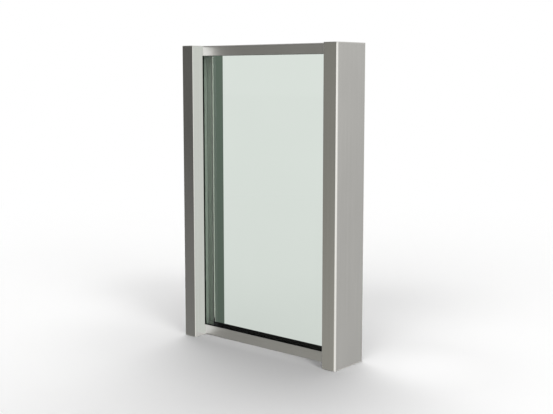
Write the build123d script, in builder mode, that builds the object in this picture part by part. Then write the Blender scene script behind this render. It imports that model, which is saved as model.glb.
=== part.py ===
"""Fixed bullet-resistant window: two deep steel jambs, shallow head and sill channels, and a laminated pane.

Millimetres. X runs along the window's width, Y from its front (-Y) to its rear, Z up. The origin is at the
centre of the base, on the floor.
"""

import os

from build123d import *

# Frame sizes
frame_height = 1016.0
frame_width = 663.0
jamb_depth = 150.0  # front to rear, over both jamb faces
jamb_face = 52.0  # width of a jamb's front face
sill_height = 35.5  # height of the sill channel
head_height = 33.5  # height of the head channel

# Sheet metal
sheet = 3.0  # wall of the jambs, channels and end plates
corner_radius = 6.0  # outside bend at a jamb's outer corners
stop_radius = 2.0  # ground corner where a jamb's face meets the side of a stop
mouth_radius = 5.0  # outside bend where a stop turns into the pocket
channel_radius = 5.0  # outside bend of a channel
edge_break = 0.6  # rounding of a channel's cut edges

# Pane: equal glass plies with clear interlayers between them
glass_plies = 4
glass_ply = 8.0
interlayer = 1.52
pane_thickness = glass_plies * glass_ply + (glass_plies - 1) * interlayer
seamed_edge = 0.5  # bevel around each glass ply

# Fits of the pane in the frame
pocket_depth = 30.0  # how deep a jamb's glazing pocket is
jamb_bite = 25.0  # how far the pane reaches into a pocket
block_height = 6.0  # setting blocks under the pane
block_length = 100.0
rail_end_gap = 4.0  # from a channel's end to the bottom of the pocket
gasket_inset = 2.0  # from a pocket's mouth to the jamb gasket
jamb_gasket_width = 14.0
tape_inset = 5.0  # from a pocket's mouth to the bedding tape
tape_width = 18.0
rail_gasket = 2.5  # thickness of the gaskets between the pane and a channel's legs
rail_gasket_height = 22.0
gasket_slope = 1.2  # height that a rail gasket's exposed edge sheds water over
sill_lip = 2.8  # how far the sill gaskets stand above the channel's legs

# Derived sizes
half_width = frame_width / 2
pane_half = pane_thickness / 2
pocket_half = pane_half + rail_gasket + sheet
rail_depth = 2 * pocket_half  # over a channel's two legs, and the clear width of a jamb's pocket
mouth_x = half_width - jamb_face  # inner side of a jamb's stops
pocket_x = mouth_x + pocket_depth  # bottom of a pocket
jamb_length = frame_height - 2 * sheet
rail_length = 2 * (pocket_x - rail_end_gap)
pane_width = 2 * (mouth_x + jamb_bite)
pane_bottom = sheet + block_height
pane_height = frame_height - 2 * pane_bottom
clear_width = 2 * mouth_x
clear_height = frame_height - sill_height - head_height

SIDES = (("left", -1), ("right", 1))
FACES = (("front", -1), ("rear", 1))
# Each rail's outer edge, the way its channel opens, its height and how far its gaskets stand beyond its legs
RAILS = (("sill", 0.0, 1, sill_height, sill_lip), ("head", frame_height, -1, head_height, 0.0))

os.makedirs("parts", exist_ok=True)


def save(builder, name):
    """Names a finished sub-part and writes its file."""
    builder.part.label = name
    export_step(builder.part, f"parts/{name}.step")


def near(axis, place):
    """A thin slice about a place on an axis."""
    return axis, place - 1, place + 1


def jamb_outline(plan, side):
    """Draws a jamb in plan: a deep box with its glazing pocket and rounded bends."""
    with Locations((side * (half_width - jamb_face / 2), 0)):
        Rectangle(jamb_face, jamb_depth)
    with Locations((side * (mouth_x + pocket_depth / 2), 0)):
        Rectangle(pocket_depth, rail_depth, mode=Mode.SUBTRACT)
    fillet(plan.vertices().filter_by_position(*near(Axis.X, side * pocket_x)), mouth_radius - sheet)
    stop_corners = plan.vertices().filter_by_position(*near(Axis.X, side * mouth_x))
    fillet(stop_corners.filter_by_position(Axis.Y, -pocket_half - 1, pocket_half + 1), mouth_radius)
    for corner_x, radius in ((mouth_x, stop_radius), (half_width, corner_radius)):
        face_ends = plan.vertices().filter_by_position(*near(Axis.X, side * corner_x))
        fillet(face_ends.group_by(lambda v: abs(v.Y))[-1], radius)


def rail_plane(base, up):
    """A rail's end-on drawing plane: across is +Y and up is the way the channel opens."""
    return Plane(origin=(0, 0, base), x_dir=(0, 1, 0), z_dir=(up, 0, 0))


# Jambs and their end plates
for side_name, side in SIDES:
    with BuildPart() as jamb:
        with BuildSketch(Plane.XY.offset(sheet)) as jamb_plan:
            jamb_outline(jamb_plan, side)
            offset(amount=-sheet, kind=Kind.ARC, mode=Mode.SUBTRACT)
        extrude(amount=jamb_length)
    save(jamb, f"{side_name}_jamb")

    for end_name, end_base in (("foot", 0.0), ("top", frame_height - sheet)):
        with BuildPart() as end_plate:
            with BuildSketch(Plane.XY.offset(end_base)) as plate_plan:
                jamb_outline(plate_plan, side)
            extrude(amount=sheet)
        save(end_plate, f"{side_name}_jamb_{end_name}_plate")

# Head and sill: channels open towards the pane, their ends in the jamb pockets
for rail_name, base, up, rail_height, lip in RAILS:
    with BuildPart() as channel:
        with BuildSketch(rail_plane(base, up)) as channel_end:
            with Locations((0, rail_height / 2)):
                Rectangle(rail_depth, rail_height)
            fillet(channel_end.vertices().group_by(Axis.Y)[0], channel_radius)
            with Locations((0, (rail_height + sheet) / 2)):
                Rectangle(rail_depth - 2 * sheet, rail_height - sheet, mode=Mode.SUBTRACT)
            fillet(channel_end.vertices().filter_by_position(*near(Axis.Y, sheet)), channel_radius - sheet)
            fillet(channel_end.vertices().group_by(Axis.Y)[-1], edge_break)
        extrude(amount=rail_length / 2, both=True)
    save(channel, f"{rail_name}_channel")

# Pane, from its front ply to its rear ply
ply_front = -pane_half
for number in range(2 * glass_plies - 1):
    is_glass = number % 2 == 0
    thickness = glass_ply if is_glass else interlayer
    with BuildPart() as ply:
        with BuildSketch(Plane.XZ.offset(-ply_front)):
            with Locations((0, frame_height / 2)):
                Rectangle(pane_width, pane_height)
        extrude(amount=-thickness)
        if is_glass:
            chamfer(ply.faces().filter_by(Axis.Y).edges(), seamed_edge)
    save(ply, f"glass_ply_{number // 2 + 1}" if is_glass else f"interlayer_{number // 2 + 1}")
    ply_front += thickness

# Setting blocks on the sill channel's web, at the quarter points of the pane
for side_name, side in SIDES:
    with BuildPart() as block:
        with BuildSketch(Plane.XY.offset(sheet)):
            with Locations((side * pane_width / 4, 0)):
                Rectangle(block_length, pane_thickness)
        extrude(amount=block_height)
    save(block, f"{side_name}_setting_block")

# Gaskets between the channel legs and the pane. The sill's stand above its legs, and its rear one has a head
# that sits on the leg.
for rail_name, base, up, rail_height, lip in RAILS:
    gasket_top = rail_height + lip
    for face_name, face in FACES:
        leg_y = face * (pocket_half - sheet)
        glass_y = face * pane_half
        gasket_points = [
            (leg_y, rail_height - rail_gasket_height),
            (glass_y, rail_height - rail_gasket_height),
            (glass_y, gasket_top),
        ]
        if rail_name == "sill" and face_name == "rear":
            head_y = face * pocket_half
            gasket_points.append((head_y, gasket_top - gasket_slope))
            gasket_points.append((head_y, rail_height))
            gasket_points.append((leg_y, rail_height))
        else:
            gasket_points.append((leg_y, gasket_top - gasket_slope))
        with BuildPart() as edge_gasket:
            with BuildSketch(rail_plane(base, up)):
                with BuildLine():
                    Polyline(*gasket_points, close=True)
                make_face()
            extrude(amount=clear_width / 2, both=True)
        save(edge_gasket, f"{rail_name}_{face_name}_gasket")

# Gaskets in front of the pane and bedding tapes behind it, in the jamb pockets
for side_name, side in SIDES:
    for name, face, inset, width in (
        ("front_gasket", -1, gasket_inset, jamb_gasket_width),
        ("rear_tape", 1, tape_inset, tape_width),
    ):
        with BuildPart() as strip:
            with BuildSketch(Plane.XY.offset(sill_height)):
                strip_x = mouth_x + inset + width / 2
                with Locations((side * strip_x, face * (pane_half + pocket_half) / 2)):
                    Rectangle(width, pocket_half - pane_half)
            extrude(amount=clear_height)
        save(strip, f"{side_name}_jamb_{name}")
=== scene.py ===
"""Looks for the bulletproof window: brushed steel frame, tinted laminated pane, black gaskets, pale studio.

Metres. X runs along the window's width, Y from its front (-Y) to its rear, Z up.
"""

import math

import bmesh
import bpy
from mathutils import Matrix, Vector


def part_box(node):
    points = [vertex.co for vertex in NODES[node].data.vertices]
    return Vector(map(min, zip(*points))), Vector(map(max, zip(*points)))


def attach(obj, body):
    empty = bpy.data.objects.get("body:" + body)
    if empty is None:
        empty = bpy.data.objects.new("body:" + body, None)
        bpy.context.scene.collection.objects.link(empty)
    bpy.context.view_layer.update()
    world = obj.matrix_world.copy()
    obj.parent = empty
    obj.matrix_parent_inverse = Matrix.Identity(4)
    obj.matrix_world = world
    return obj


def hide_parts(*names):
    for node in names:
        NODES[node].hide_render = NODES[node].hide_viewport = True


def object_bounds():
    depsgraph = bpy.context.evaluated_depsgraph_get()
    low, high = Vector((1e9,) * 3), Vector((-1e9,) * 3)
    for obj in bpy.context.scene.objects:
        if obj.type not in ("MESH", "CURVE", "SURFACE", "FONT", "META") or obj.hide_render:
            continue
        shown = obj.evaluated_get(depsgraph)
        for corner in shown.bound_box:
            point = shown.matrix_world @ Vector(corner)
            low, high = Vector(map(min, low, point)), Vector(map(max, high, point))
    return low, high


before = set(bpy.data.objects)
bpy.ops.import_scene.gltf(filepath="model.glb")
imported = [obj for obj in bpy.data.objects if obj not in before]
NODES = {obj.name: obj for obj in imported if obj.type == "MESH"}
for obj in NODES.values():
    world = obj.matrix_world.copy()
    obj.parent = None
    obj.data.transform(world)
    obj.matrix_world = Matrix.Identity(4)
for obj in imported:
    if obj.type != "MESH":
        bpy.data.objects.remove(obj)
cad_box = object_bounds()

# Nodes by their material
STEEL_UPRIGHT = ["left_jamb", "right_jamb"]
STEEL_ENDS = [n for n in NODES if n.endswith("_plate")]
STEEL_LEVEL = ["head_channel", "sill_channel"]
PANE = [n for n in NODES if n.startswith(("glass_ply", "interlayer"))]
TAPES = ["left_jamb_rear_tape", "right_jamb_rear_tape"]
RUBBER = [n for n in NODES if n.endswith(("gasket", "block"))]

# Places that the added pieces and the studio are set out from
base_z = cad_box[0].z
top_z = cad_box[1].z
front_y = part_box("left_jamb")[0].y
rear_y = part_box("left_jamb")[1].y
stop_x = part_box("right_jamb")[0].x  # inner side of the right jamb's stops, half the clear width
sill_low, sill_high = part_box("sill_channel")
head_low_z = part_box("head_channel")[0].z

# Ranges and colours that many nodes use
UNIT = (0.0, 1.0)
FALL = (1.0, 0.0)
NOISE_RANGE = (0.3, 0.7)  # most of a noise's values lie here
EVEN = (1, 1, 1)  # no stretch, or no tint
BLACK = (0.0, 0.0, 0.0)
WHITE = (1.0, 1.0, 1.0, 1.0)
SQUARE_ON = 0.9  # a face whose normal has this much of an axis is square to it


# Node helpers


def new_tree(owner):
    """An empty node tree on a material or world."""
    owner.use_nodes = True
    owner.node_tree.nodes.clear()
    return owner.node_tree


def new_material(name):
    """A new material and its empty node tree."""
    material = bpy.data.materials.new(name)
    return material, new_tree(material)


def put(tree, kind, settings=None, **inputs):
    """Adds a node. Inputs are values or sockets, by the input's name with underscores or as in0, in1."""
    made = tree.nodes.new(kind)
    for key, value in (settings or {}).items():
        setattr(made, key, value)
    for key, value in inputs.items():
        if key.startswith("in") and key[2:].isdigit():
            socket = made.inputs[int(key[2:])]
        else:
            socket = made.inputs[key.replace("_", " ")]
        if isinstance(value, bpy.types.NodeSocket):
            tree.links.new(value, socket)
        else:
            socket.default_value = value
    return made


def math_node(tree, operation, a, b=0.0):
    """A math node's result."""
    return put(tree, "ShaderNodeMath", {"operation": operation}, in0=a, in1=b).outputs[0]


def vector_node(tree, operation, output, **inputs):
    """A vector math node's result, from its output of that name."""
    return put(tree, "ShaderNodeVectorMath", {"operation": operation}, **inputs).outputs[output]


def split(tree, vector):
    """A vector's X, Y and Z."""
    return put(tree, "ShaderNodeSeparateXYZ", Vector=vector).outputs


def geometry(tree, output):
    """What the Geometry node says of the place that is shaded."""
    return put(tree, "ShaderNodeNewGeometry").outputs[output]


def own_place(tree):
    """The place in the piece's own coordinates, which are the window's."""
    return put(tree, "ShaderNodeTexCoord").outputs["Object"]


def spread(tree, value, source, target, kind="LINEAR"):
    """value mapped from one range to another, and held inside it."""
    made = put(tree, "ShaderNodeMapRange", {"interpolation_type": kind, "clamp": True}, in0=value)
    for number, limit in enumerate((*source, *target), 1):
        made.inputs[number].default_value = limit
    return made.outputs[0]


def soft_spread(tree, value, source, target):
    """As spread, with soft ends."""
    return spread(tree, value, source, target, "SMOOTHSTEP")


def mix_colour(tree, factor, a, b):
    """A colour between a and b."""
    made = put(tree, "ShaderNodeMix", {"data_type": "RGBA"}, in0=factor)
    for socket, value in ((made.inputs[6], a), (made.inputs[7], b)):
        if isinstance(value, bpy.types.NodeSocket):
            tree.links.new(value, socket)
        else:
            socket.default_value = (*value, 1.0)
    return made.outputs[2]


def mix_shader(tree, factor, a, b):
    """A shader between the shader nodes a and b."""
    return put(tree, "ShaderNodeMixShader", in0=factor, in1=a.outputs[0], in2=b.outputs[0])


def noise(tree, scale, stretch, detail, roughness):
    """Noise over the piece's own coordinates."""
    placed = put(tree, "ShaderNodeMapping", Vector=own_place(tree), Scale=stretch).outputs[0]
    made = put(tree, "ShaderNodeTexNoise", Vector=placed, Scale=scale, Detail=detail, Roughness=roughness)
    return made.outputs[0]


def front_side(tree):
    """1 on a face's front side and 0 on its back."""
    return math_node(tree, "SUBTRACT", 1.0, geometry(tree, "Backfacing"))


def finish_material(tree, shader):
    """Shows a shader node on the material's surface."""
    put(tree, "ShaderNodeOutputMaterial", Surface=shader.outputs[0])


# Materials

STEEL_DARK = (0.607, 0.598, 0.567)
STEEL_LIGHT = (0.647, 0.638, 0.606)
ALONG_GRAIN = 0.012  # scale of the brush marks along the grain, which draws them out
STREAK = 0.04  # how far brush lines change the steel's roughness
CLOUD = 0.02  # how far broad clouds change it

RUBBER_DARK = (0.001, 0.001, 0.001)
RUBBER_LIGHT = (0.003, 0.003, 0.003)
TAPE_DARK = (0.455, 0.495, 0.44)
TAPE_LIGHT = (0.515, 0.555, 0.495)
RUBBER_ROUGHNESS = (0.54, 0.66)
# Painted shade on the grey tapes: black mixed in towards the pocket's mouth and towards the floor, evening
# out the light that falls on them
MOUTH_PAINTED_SHADE = (0.36, 0.0)  # share of black on a tape, from its mouth inwards
FOOT_PAINTED_SHADE = (0.24, 0.0)  # and from the floor to 1 m above it

GLASS_TINT = (0.835, 0.868, 0.840)
GLASS_TINT_PALE = (0.845, 0.876, 0.850)
GLASS_SHEEN = (0.02, 1.0)  # share that the pane mirrors, from head on to grazing
SHEEN_POWER = 5.0
PLY_DARK = (0.345, 0.405, 0.345)
PLY_LIGHT = (0.42, 0.48, 0.42)
INTERLAYER_LINE = (0.55, 0.60, 0.55)
EDGE_ROUGHNESS = (0.35, 0.55)


def across_grain(tree, grain):
    """The direction across the brush lines. Faces that the lines run into take another axis for the lines."""
    other = "X" if grain == "Z" else "Z"
    normal = geometry(tree, "Normal")
    axis = tuple(1.0 if name == grain else 0.0 for name in "XYZ")
    into = vector_node(tree, "DOT_PRODUCT", "Value", in0=normal, in1=axis)
    end_face = math_node(tree, "GREATER_THAN", math_node(tree, "ABSOLUTE", into), SQUARE_ON)
    lines = put(tree, "ShaderNodeCombineXYZ", **{grain: 1.0, other: end_face}).outputs[0]
    return vector_node(tree, "CROSS_PRODUCT", "Vector", in0=normal, in1=lines)


def brushed_steel(name, grain, roughness, stretch):
    """Satin stainless steel. Its brush lines run along one axis and stretch reflections across them."""
    material, tree = new_material(name)
    fine = tuple(ALONG_GRAIN if axis == grain else 1.0 for axis in "XYZ")
    lines = noise(tree, scale=1100.0, stretch=fine, detail=4.0, roughness=0.6)
    bands = noise(tree, scale=140.0, stretch=fine, detail=2.0, roughness=0.5)
    cloud = noise(tree, scale=5.0, stretch=(1, 1, 0.5), detail=2.0, roughness=0.5)
    half_bands = math_node(tree, "MULTIPLY", bands, 0.5)
    half_cloud = math_node(tree, "MULTIPLY", cloud, 0.5)
    tone = math_node(tree, "ADD", half_bands, half_cloud)
    streak = spread(tree, lines, UNIT, (roughness - STREAK, roughness + STREAK))
    clouded = spread(tree, cloud, NOISE_RANGE, (-CLOUD, CLOUD))
    bump = put(tree, "ShaderNodeBump", Strength=0.04, Distance=0.0002, Height=lines)
    steel = put(
        tree,
        "ShaderNodeBsdfPrincipled",
        Base_Color=mix_colour(tree, spread(tree, tone, NOISE_RANGE, UNIT), STEEL_DARK, STEEL_LIGHT),
        Metallic=1.0,
        Roughness=math_node(tree, "ADD", streak, clouded),
        Anisotropic=stretch,
        Tangent=across_grain(tree, grain),
        Normal=bump.outputs[0],
    )
    finish_material(tree, steel)
    return material


def rubber(name, dark, light, mouth=None):
    """Moulded rubber or tape with a faint mottle.

    A tape gets painted shade, darker towards its foot and its mouth. mouth gives the distances of the
    tape's two sides from the window's middle.
    """
    material, tree = new_material(name)
    mottle = noise(tree, scale=160.0, stretch=EVEN, detail=4.0, roughness=0.6)
    colour = mix_colour(tree, spread(tree, mottle, NOISE_RANGE, UNIT), dark, light)
    if mouth:
        x, _, z = split(tree, own_place(tree))
        from_middle = math_node(tree, "ABSOLUTE", x)
        # Painted shade: black mixed in towards the tape's mouth and towards its foot
        colour = mix_colour(tree, spread(tree, from_middle, mouth, MOUTH_PAINTED_SHADE), colour, BLACK)
        colour = mix_colour(tree, spread(tree, z, UNIT, FOOT_PAINTED_SHADE), colour, BLACK)
    bump = put(tree, "ShaderNodeBump", Strength=0.15, Distance=0.0003, Height=mottle)
    skin = put(
        tree,
        "ShaderNodeBsdfPrincipled",
        Base_Color=colour,
        Specular_IOR_Level=0.04,
        Roughness=spread(tree, mottle, NOISE_RANGE, RUBBER_ROUGHNESS),
        Normal=bump.outputs[0],
    )
    finish_material(tree, skin)
    return material


def clear_glass(name):
    """The pane's faces: a tinted see-through surface with a Fresnel sheen on the side that light comes to."""
    material, tree = new_material(name)
    facing = put(tree, "ShaderNodeLayerWeight", Blend=0.5).outputs["Facing"]
    mirrored = spread(tree, math_node(tree, "POWER", facing, SHEEN_POWER), UNIT, GLASS_SHEEN)
    sheen = math_node(tree, "MULTIPLY", mirrored, front_side(tree))
    faint = noise(tree, scale=2.2, stretch=EVEN, detail=2.0, roughness=0.5)
    tint = mix_colour(tree, spread(tree, faint, NOISE_RANGE, UNIT), GLASS_TINT, GLASS_TINT_PALE)
    through = put(tree, "ShaderNodeBsdfTransparent", Color=tint)
    gloss = put(tree, "ShaderNodeBsdfGlossy", Color=WHITE, Roughness=0.01)
    finish_material(tree, mix_shader(tree, sheen, through, gloss))
    return material


def ground_edge(name):
    """The pane's ground edges: green glass plies with paler interlayers between them."""
    material, tree = new_material(name)
    ply_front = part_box("glass_ply_1")[0].y
    ply_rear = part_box("glass_ply_1")[1].y
    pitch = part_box("interlayer_1")[1].y - ply_front
    _, depth, _ = split(tree, own_place(tree))
    from_front = math_node(tree, "SUBTRACT", depth, ply_front)
    step = math_node(tree, "FRACT", math_node(tree, "DIVIDE", from_front, pitch))
    between = math_node(tree, "GREATER_THAN", step, (ply_rear - ply_front) / pitch)
    grain = noise(tree, scale=400.0, stretch=EVEN, detail=3.0, roughness=0.6)
    green = mix_colour(tree, grain, PLY_DARK, PLY_LIGHT)
    skin = put(
        tree,
        "ShaderNodeBsdfPrincipled",
        Base_Color=mix_colour(tree, between, green, INTERLAYER_LINE),
        Roughness=spread(tree, grain, UNIT, EDGE_ROUGHNESS),
    )
    finish_material(tree, skin)
    return material


def paint(names, material):
    """Gives CAD nodes a material."""
    for n in names:
        NODES[n].data.materials.clear()
        NODES[n].data.materials.append(material)


upright_steel = brushed_steel("brushed steel, upright grain", "Z", roughness=0.18, stretch=0.4)
paint(STEEL_UPRIGHT, upright_steel)
paint(STEEL_ENDS, brushed_steel("brushed steel, end plates", "Y", roughness=0.38, stretch=0.2))
paint(STEEL_LEVEL, brushed_steel("brushed steel, level grain", "X", roughness=0.43, stretch=0.0))
paint(RUBBER, rubber("black rubber", RUBBER_DARK, RUBBER_LIGHT))
tape_low, tape_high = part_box("right_jamb_rear_tape")
paint(TAPES, rubber("grey tape", TAPE_DARK, TAPE_LIGHT, mouth=(tape_low.x, tape_high.x)))


# The pane as one laminated slab with seamed edges

SEAM = 0.0005  # bevel around the pane
PANE_GAP = 0.0001  # keeps the pane's faces off the gaskets and tapes


def link(name, data):
    """A new object in the scene, for a mesh or a camera."""
    made = bpy.data.objects.new(name, data)
    bpy.context.scene.collection.objects.link(made)
    return made


def slab(name, low, high):
    """A bevelled box whose front and rear faces take the first material and the rest the second."""
    mesh = bpy.data.meshes.new(name)
    shape = bmesh.new()
    bmesh.ops.create_cube(shape, size=1.0)
    for v in shape.verts:
        v.co = Vector(((low[i] + high[i]) / 2 + v.co[i] * (high[i] - low[i]) for i in range(3)))
    bmesh.ops.bevel(shape, geom=shape.edges[:], offset=SEAM, segments=1, affect="EDGES")
    for f in shape.faces:
        f.material_index = 0 if abs(f.normal.y) > SQUARE_ON else 1
    shape.to_mesh(mesh)
    shape.free()
    return link(name, mesh)


pane_low = Vector(min(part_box(n)[0][i] for n in PANE) for i in range(3))
pane_high = Vector(max(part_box(n)[1][i] for n in PANE) for i in range(3))
clearance = Vector((0, PANE_GAP, 0))
pane = slab("laminated_pane", pane_low + clearance, pane_high - clearance)
pane.data.materials.append(clear_glass("tinted laminated glass"))
pane.data.materials.append(ground_edge("ground glass edge"))
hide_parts(*PANE)
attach(pane, "root")


# Ground welds that fill the bends of the jamb stops where the channels enter the pockets

BEND = 0.005  # radius of a stop's bend
BEND_STEPS = 6
WELD_GAP = 0.0003  # keeps the welds off the window's foot and top


def corner_weld(shape, side, face, low, high):
    """A prism between a stop's rounded edge and the channel beside it."""
    outline = [(stop_x, sill_high.y)]
    for step in range(BEND_STEPS + 1):
        turn = math.pi / 2 * step / BEND_STEPS
        x = stop_x + BEND * (1 - math.cos(turn))
        y = sill_high.y + BEND * (1 - math.sin(turn))
        outline.append((x, y))
    rings = [[shape.verts.new((side * x, face * y, z)) for x, y in outline] for z in (low, high)]
    shape.faces.new(rings[0])
    shape.faces.new(rings[1])
    count = len(outline)
    for i in range(count):
        j = (i + 1) % count
        shape.faces.new((rings[0][i], rings[0][j], rings[1][j], rings[1][i]))


weld_shape = bmesh.new()
for side in (-1, 1):
    for face in (-1, 1):
        corner_weld(weld_shape, side, face, base_z + WELD_GAP, sill_high.z)
        corner_weld(weld_shape, side, face, head_low_z, top_z - WELD_GAP)
bmesh.ops.recalc_face_normals(weld_shape, faces=weld_shape.faces[:])
weld_mesh = bpy.data.meshes.new("corner_welds")
weld_shape.to_mesh(weld_mesh)
weld_shape.free()
weld_mesh.materials.append(upright_steel)
welds = link("corner_welds", weld_mesh)
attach(welds, "root")


# Studio: a pale floor, cards about the pane that only metal or shadows see, and a light world

CARD_GAP = 0.0003  # how far a card stands off the pane, a stop or a channel
REAR_CARD_GAP = 0.0005  # and inside the jambs' rear faces
CARD_END = 0.001  # how far the tall cards end above the floor and below the top
CARD_LOW = CARD_END
CARD_HIGH = top_z - CARD_END

FLOOR_REACH = 30.0  # half the floor's side
FLOOR_DROP = 0.0005  # how far the floor is below the window's foot
FLOOR_COLOUR = (1.0, 0.999, 0.997)
FLOOR_SHADE_REACH = 0.65  # how far from the window its shade fades
FLOOR_SHADE = (0.845, 0.985)  # the floor's level from the window outwards
SILL_LIGHT_REACH = 0.08  # how far the sill throws light on the floor
SILL_LIGHT = (1.18, 1.0)
# Soft patches of shade, and of light off the right jamb: x, y, radius and share of the floor's own light
FLOOR_PATCHES = ((-0.80, 0.46, 0.62, 0.91), (0.0, 0.85, 0.60, 0.955), (0.50, 0.14, 0.28, 1.10))
FADE_TO_WHITE = (1.2, 4.0)  # distances from the window's middle between which the floor turns white
VEIL = 0.85  # share of an even light on the floor that is seen through the pane
VEIL_REACH = (0.3, 7.0)
VEIL_LEVEL = (0.94, 0.985)


def card(name, quad, material, seen_by):
    """A flat card, given by its corners, that only the named kinds of ray meet."""
    mesh = bpy.data.meshes.new(name)
    mesh.from_pydata(quad, [], [(0, 1, 2, 3)])
    mesh.materials.append(material)
    made = link(name, mesh)
    for kind in ("camera", "diffuse", "glossy", "transmission", "volume_scatter", "shadow"):
        setattr(made, "visible_" + kind, kind in seen_by)


def upright(y, low, high):
    """The corners of a card across the opening that faces front and rear."""
    return [(-stop_x, y, low), (stop_x, y, low), (stop_x, y, high), (-stop_x, y, high)]


def through_pane(tree):
    """1 where the ray has come through the pane."""
    crossed = put(tree, "ShaderNodeLightPath").outputs["Transparent Depth"]
    return math_node(tree, "GREATER_THAN", crossed, 0.5)


def glow(name, colour, foot, top, past_pane=False):
    """Light on a card's front side, from the window's foot to its top, for all rays or only past the pane."""
    material, tree = new_material(name)
    _, _, height = split(tree, geometry(tree, "Position"))
    strength = spread(tree, height, (base_z, top_z), (foot, top))
    lit = put(tree, "ShaderNodeEmission", Color=(*colour, 1), Strength=strength)
    clear = put(tree, "ShaderNodeBsdfTransparent")
    shown = front_side(tree)
    if past_pane:
        shown = math_node(tree, "MULTIPLY", shown, through_pane(tree))
    finish_material(tree, mix_shader(tree, shown, clear, lit))
    return material


def matte(name, level):
    """A plain grey for a card that only holds light back."""
    material, tree = new_material(name)
    finish_material(tree, put(tree, "ShaderNodeBsdfDiffuse", Color=(level, level, level, 1)))
    return material


def beside(tree, where, low, high):
    """How far a place on the floor is from a rectangle, given by its lowest and highest corners."""
    place = split(tree, where)
    squares = []
    for axis in (0, 1):
        middle = (low[axis] + high[axis]) / 2
        half = (high[axis] - low[axis]) / 2
        from_middle = math_node(tree, "ABSOLUTE", math_node(tree, "SUBTRACT", place[axis], middle))
        gap = math_node(tree, "MAXIMUM", math_node(tree, "SUBTRACT", from_middle, half), 0.0)
        squares.append(math_node(tree, "POWER", gap, 2.0))
    return math_node(tree, "SQRT", math_node(tree, "ADD", *squares))


def floor_level(tree, where):
    """How pale the floor is: shaded close to the window, lit by the sill, and with the soft patches."""
    level = soft_spread(tree, beside(tree, where, *cad_box), (0.0, FLOOR_SHADE_REACH), FLOOR_SHADE)
    from_sill = beside(tree, where, sill_low, sill_high)
    sill_light = soft_spread(tree, from_sill, (0.0, SILL_LIGHT_REACH), SILL_LIGHT)
    level = math_node(tree, "MULTIPLY", level, sill_light)
    for x, y, radius, share in FLOOR_PATCHES:
        away = vector_node(tree, "DISTANCE", "Value", in0=where, in1=(x, y, 0))
        level = math_node(tree, "MULTIPLY", level, soft_spread(tree, away, (0.0, radius), (share, 1.0)))
    return level


def floor_material():
    """White floor that fades into the white ground away from the window."""
    material, tree = new_material("pale floor")
    where = geometry(tree, "Position")
    away = vector_node(tree, "LENGTH", "Value", in0=where)
    colour = mix_colour(tree, floor_level(tree, where), BLACK, FLOOR_COLOUR)
    pale = put(tree, "ShaderNodeBsdfDiffuse", Color=colour)
    white = put(tree, "ShaderNodeEmission", Color=WHITE, Strength=1.0)
    faded = mix_shader(tree, soft_spread(tree, away, FADE_TO_WHITE, UNIT), pale, white)
    veil_level = spread(tree, away, VEIL_REACH, VEIL_LEVEL)
    veil = put(tree, "ShaderNodeEmission", Color=WHITE, Strength=veil_level)
    veil_share = math_node(tree, "MULTIPLY", through_pane(tree), VEIL)
    finish_material(tree, mix_shader(tree, veil_share, faded, veil))
    return material


floor_corners = [(x * FLOOR_REACH, y * FLOOR_REACH, 0) for x, y in ((-1, -1), (1, -1), (1, 1), (-1, 1))]
floor_mesh = bpy.data.meshes.new("floor")
floor_mesh.from_pydata(floor_corners, [], [(0, 1, 2, 3)])
floor_mesh.materials.append(floor_material())
floor = link("floor", floor_mesh)
floor.location.z = -FLOOR_DROP
floor.visible_glossy = False

card(
    "pane_light",
    upright(sill_low.y - CARD_GAP, CARD_LOW, CARD_HIGH),
    glow("pane light", (0.945, 0.990, 0.970), foot=0.89, top=0.945),
    ("glossy",),
)
left_stop = -stop_x + CARD_GAP
card(
    "stop_light",
    [
        (left_stop, front_y, CARD_LOW),
        (left_stop, sill_low.y, CARD_LOW),
        (left_stop, sill_low.y, CARD_HIGH),
        (left_stop, front_y, CARD_HIGH),
    ],
    glow("stop light", (0.99, 1.0, 1.01), foot=0.93, top=1.19),
    ("glossy",),
)
card(
    "rear_dark",
    upright(rear_y - REAR_CARD_GAP, CARD_LOW, CARD_HIGH),
    glow("rear dark", (0.79, 1.0, 0.885), foot=0.24, top=0.30, past_pane=True),
    ("glossy",),
)
card(
    "pane_shade",
    upright(pane_high.y + CARD_GAP, sill_high.z, head_low_z),
    matte("pane shade", 0.02),
    ("diffuse", "shadow"),
)

# What the steel mirrors: degrees to the right of the front, and the light there at eye height and below it
AROUND = (
    (-180, 1.00, 0.90),
    (-150, 0.90, 0.80),
    (-105, 0.62, 0.56),
    (-78, 0.09, 0.22),
    (-50, 0.09, 0.24),
    (-44, 0.13, 0.26),
    (-40, 0.22, 0.31),
    (-36, 0.42, 0.43),
    (-30, 0.38, 0.53),
    (-20, 0.10, 0.55),
    (-10, 0.15, 0.65),
    (5, 1.10, 1.10),
    (30, 1.40, 1.25),
    (60, 1.45, 1.30),
    (90, 1.35, 1.25),
    (120, 1.20, 1.10),
    (136, 0.90, 0.80),
    (144, 0.58, 0.47),
    (156, 0.70, 0.60),
    (180, 1.00, 0.90),
)
AT_EYE = 1  # its column for eye height
BELOW_EYE = 2  # and for below it
# What lights the floor: low lamps at the front, at the right and, the broadest, at the rear left
FLOOR_LIGHT = (
    (-180, 1.70),
    (-157, 3.30),
    (-135, 3.40),
    (-112, 2.90),
    (-90, 0.00),
    (-22, 0.00),
    (0, 2.10),
    (22, 4.10),
    (45, 0.40),
    (67, 5.30),
    (90, 0.80),
    (112, 0.30),
    (157, 0.70),
    (180, 1.70),
)
LAMPS = 1  # its column
PEAK = 6.0  # the world's strength, above the strongest light in either table
WARM = (1.01, 1.0, 0.93)  # tint of what the right jamb's front mirrors
WARM_ROWS = (-40, -10)  # degrees to the right of the front

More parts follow.
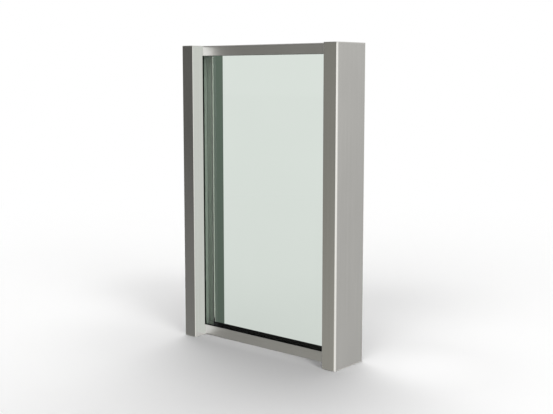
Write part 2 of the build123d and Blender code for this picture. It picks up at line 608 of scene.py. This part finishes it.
# Heights of a direction, as its Z, between which one part of the world gives way to the next
BELOW_TO_EYE = (-0.27, -0.08)
EYE_TO_DIM = (0.05, 0.25)
DIM_TO_OVERHEAD = (0.40, 0.65)
LAMPS_TO_DARK = (0.74, 0.83)
REAR_TO_FRONT = (-0.1, 0.1)  # the same for a direction's share towards the front
DIM = (0.0, 0.85)  # share of black above eye height at the front
OVERHEAD = 0.45
CEILING = (0.01, 0.01, 0.01)  # share of PEAK that lights the floor from straight above


def ring(tree, turn, table, column):
    """A table's column as a ramp over the turn, from 0 at the rear round the left, front and right."""
    ramp = put(tree, "ShaderNodeValToRGB", in0=turn)
    stops = ramp.color_ramp.elements
    while len(stops) < len(table):
        stops.new(0.5)
    for stop, row in zip(stops, table):
        is_warm = table is AROUND and WARM_ROWS[0] <= row[0] <= WARM_ROWS[1]
        tint = WARM if is_warm else EVEN
        stop.position = (row[0] + 180) / 360
        stop.color = (*(row[column] / PEAK * share for share in tint), 1)
    return ramp.outputs[0]


def studio_world():
    """White to the eye. Steel mirrors a ring of light and dark, and the floor is lit by low lamps."""
    world = bpy.data.worlds.new("studio")
    bpy.context.scene.world = world
    tree = new_tree(world)
    x, y, z = split(tree, put(tree, "ShaderNodeTexCoord").outputs["Generated"])
    ahead = math_node(tree, "MULTIPLY", y, -1.0)
    turn = spread(tree, math_node(tree, "ARCTAN2", x, ahead), (-math.pi, math.pi), UNIT)

    below = spread(tree, z, BELOW_TO_EYE, FALL)
    eye_ring = ring(tree, turn, AROUND, AT_EYE)
    mirrored = mix_colour(tree, below, eye_ring, ring(tree, turn, AROUND, BELOW_EYE))
    at_front = spread(tree, ahead, REAR_TO_FRONT, UNIT)
    dim = math_node(tree, "MULTIPLY", spread(tree, z, EYE_TO_DIM, DIM), at_front)
    mirrored = mix_colour(tree, dim, mirrored, BLACK)
    overhead = spread(tree, z, DIM_TO_OVERHEAD, UNIT)
    mirrored = mix_colour(tree, overhead, mirrored, (OVERHEAD / PEAK,) * 3)

    under = spread(tree, z, LAMPS_TO_DARK, FALL)
    lamps = mix_colour(tree, under, CEILING, ring(tree, turn, FLOOR_LIGHT, LAMPS))

    path = put(tree, "ShaderNodeLightPath").outputs
    for_eye = put(tree, "ShaderNodeBackground", Color=WHITE, Strength=1.0)
    for_steel = put(tree, "ShaderNodeBackground", Color=mirrored, Strength=PEAK)
    for_floor = put(tree, "ShaderNodeBackground", Color=lamps, Strength=PEAK)
    unseen = mix_shader(tree, path["Is Glossy Ray"], for_floor, for_steel)
    shown = mix_shader(tree, path["Is Camera Ray"], unseen, for_eye)
    put(tree, "ShaderNodeOutputWorld", Surface=shown.outputs[0])


studio_world()


# Camera, fitted to the frame's edges in the photograph

LOOK_DOWN = 6.804  # degrees below the level
LOOK_LEFT = 40.205  # degrees to the left of straight to the rear

lens = bpy.data.cameras.new("camera")
lens.sensor_width = 36.0
lens.lens = 61.524
lens.shift_y = -0.035
camera = link("camera", lens)
camera.location = (2.0322, -2.3679, 0.9172)
camera.rotation_euler = (math.radians(90 - LOOK_DOWN), 0, math.radians(LOOK_LEFT))
bpy.context.scene.camera = camera
bpy.context.scene.view_settings.view_transform = "Standard"
bpy.context.scene.cycles.caustics_reflective = False
